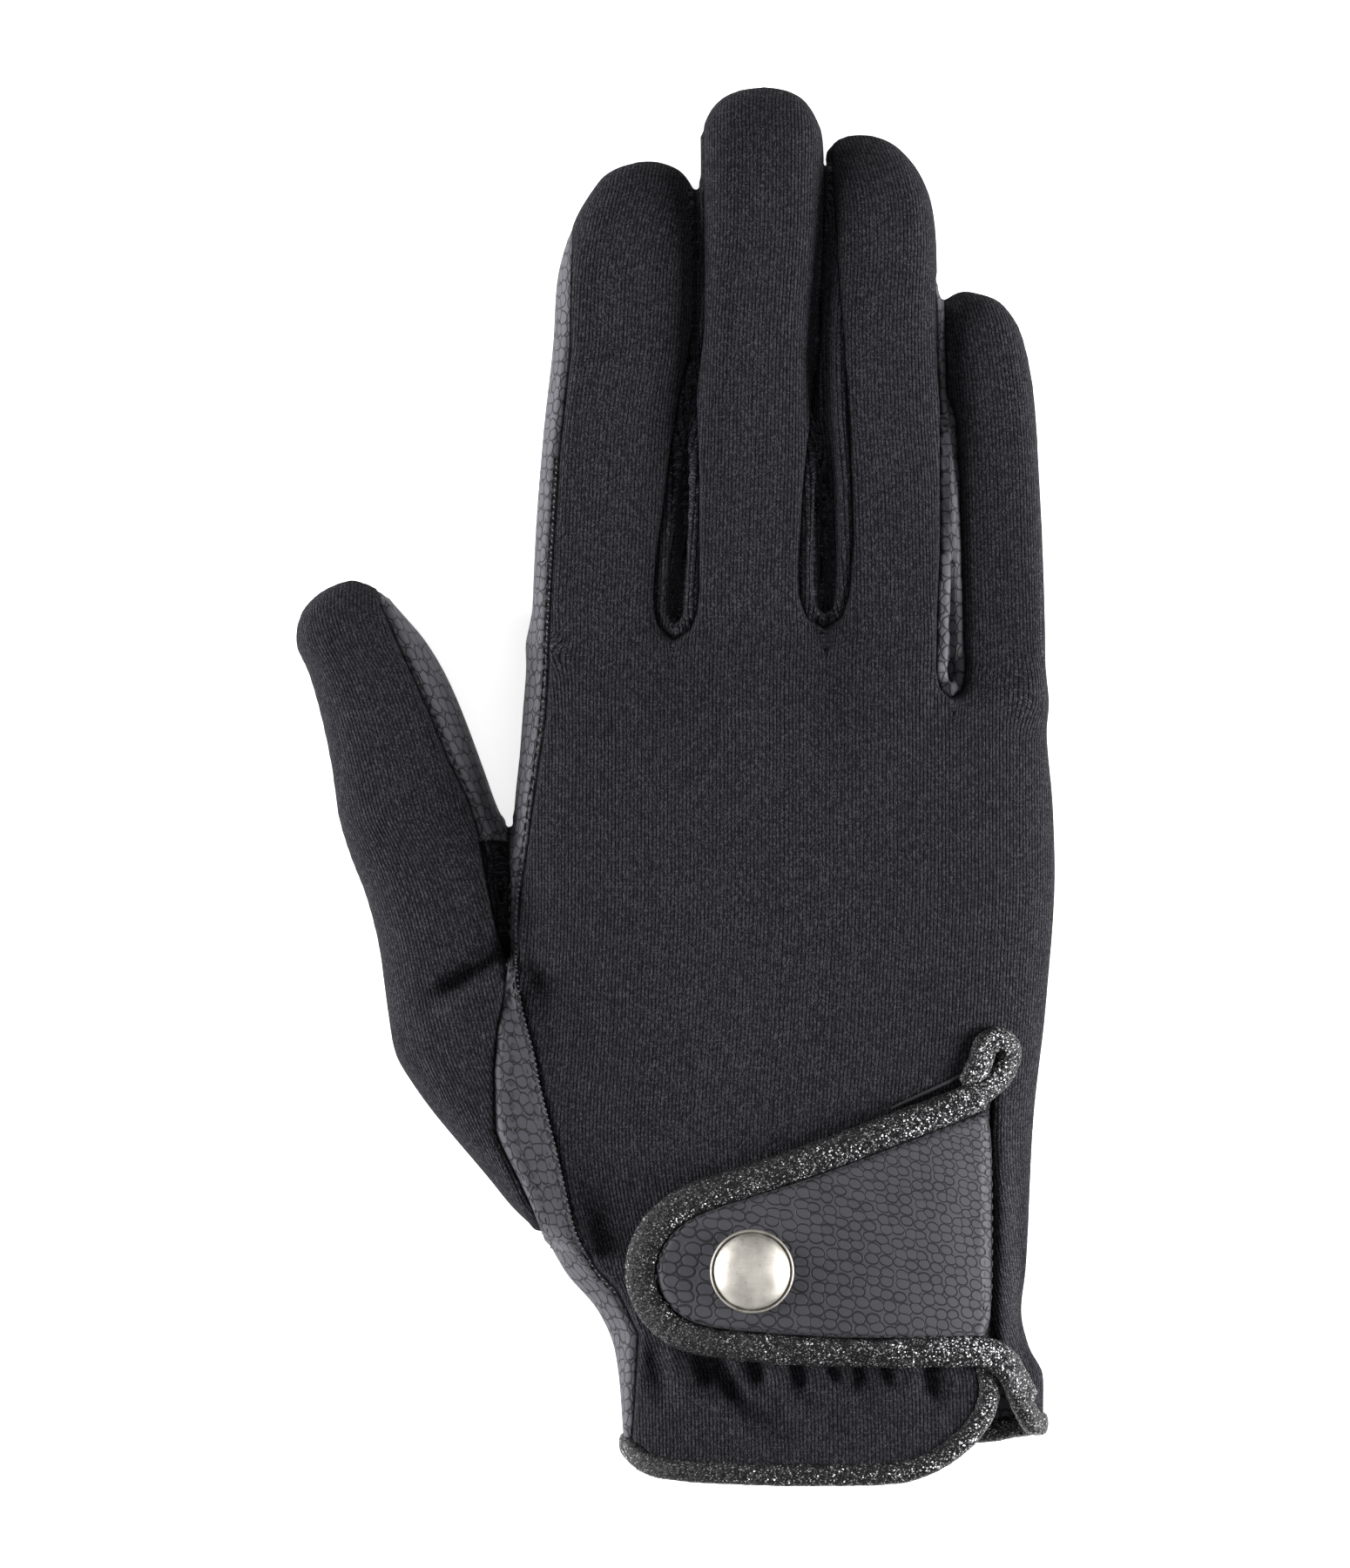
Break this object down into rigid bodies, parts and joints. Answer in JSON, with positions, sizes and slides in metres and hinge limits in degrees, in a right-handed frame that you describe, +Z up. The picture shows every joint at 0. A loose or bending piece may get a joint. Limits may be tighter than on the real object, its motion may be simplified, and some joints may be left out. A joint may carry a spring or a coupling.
{
  "type": "horse riding glove",
  "caption": "Right-hand riding glove with a knit back, pebbled palm, and a bound wrist strap with a domed snap over a wrist slit.",
  "frame": {"origin": "middle of the footprint, on the surface that the palm rests on", "axes": "+X from the thumb to the little finger, +Y from the cuff to the fingertips, +Z up through the back of the hand"},
  "size_m": [0.122, 0.2238, 0.0295],
  "materials": {
    "knit": "matte",
    "leather": "embossed, satin",
    "glitter": "glitter",
    "nickel": "antique, brushed"
  },
  "bodies": {
    "root": {"back_panel": "knit", "palm_panel": "leather", "thumb_back": "knit", "thumb_front": "leather", "thumb_gusset": "knit", "fourchette_index_middle": "knit", "fourchette_middle_ring": "knit", "fourchette_ring_little": "leather", "strap": "leather", "strap_binding": "glitter", "slit_binding": "glitter", "cuff_binding": "glitter", "snap_cap": "nickel"}
  },
  "joints": []
}
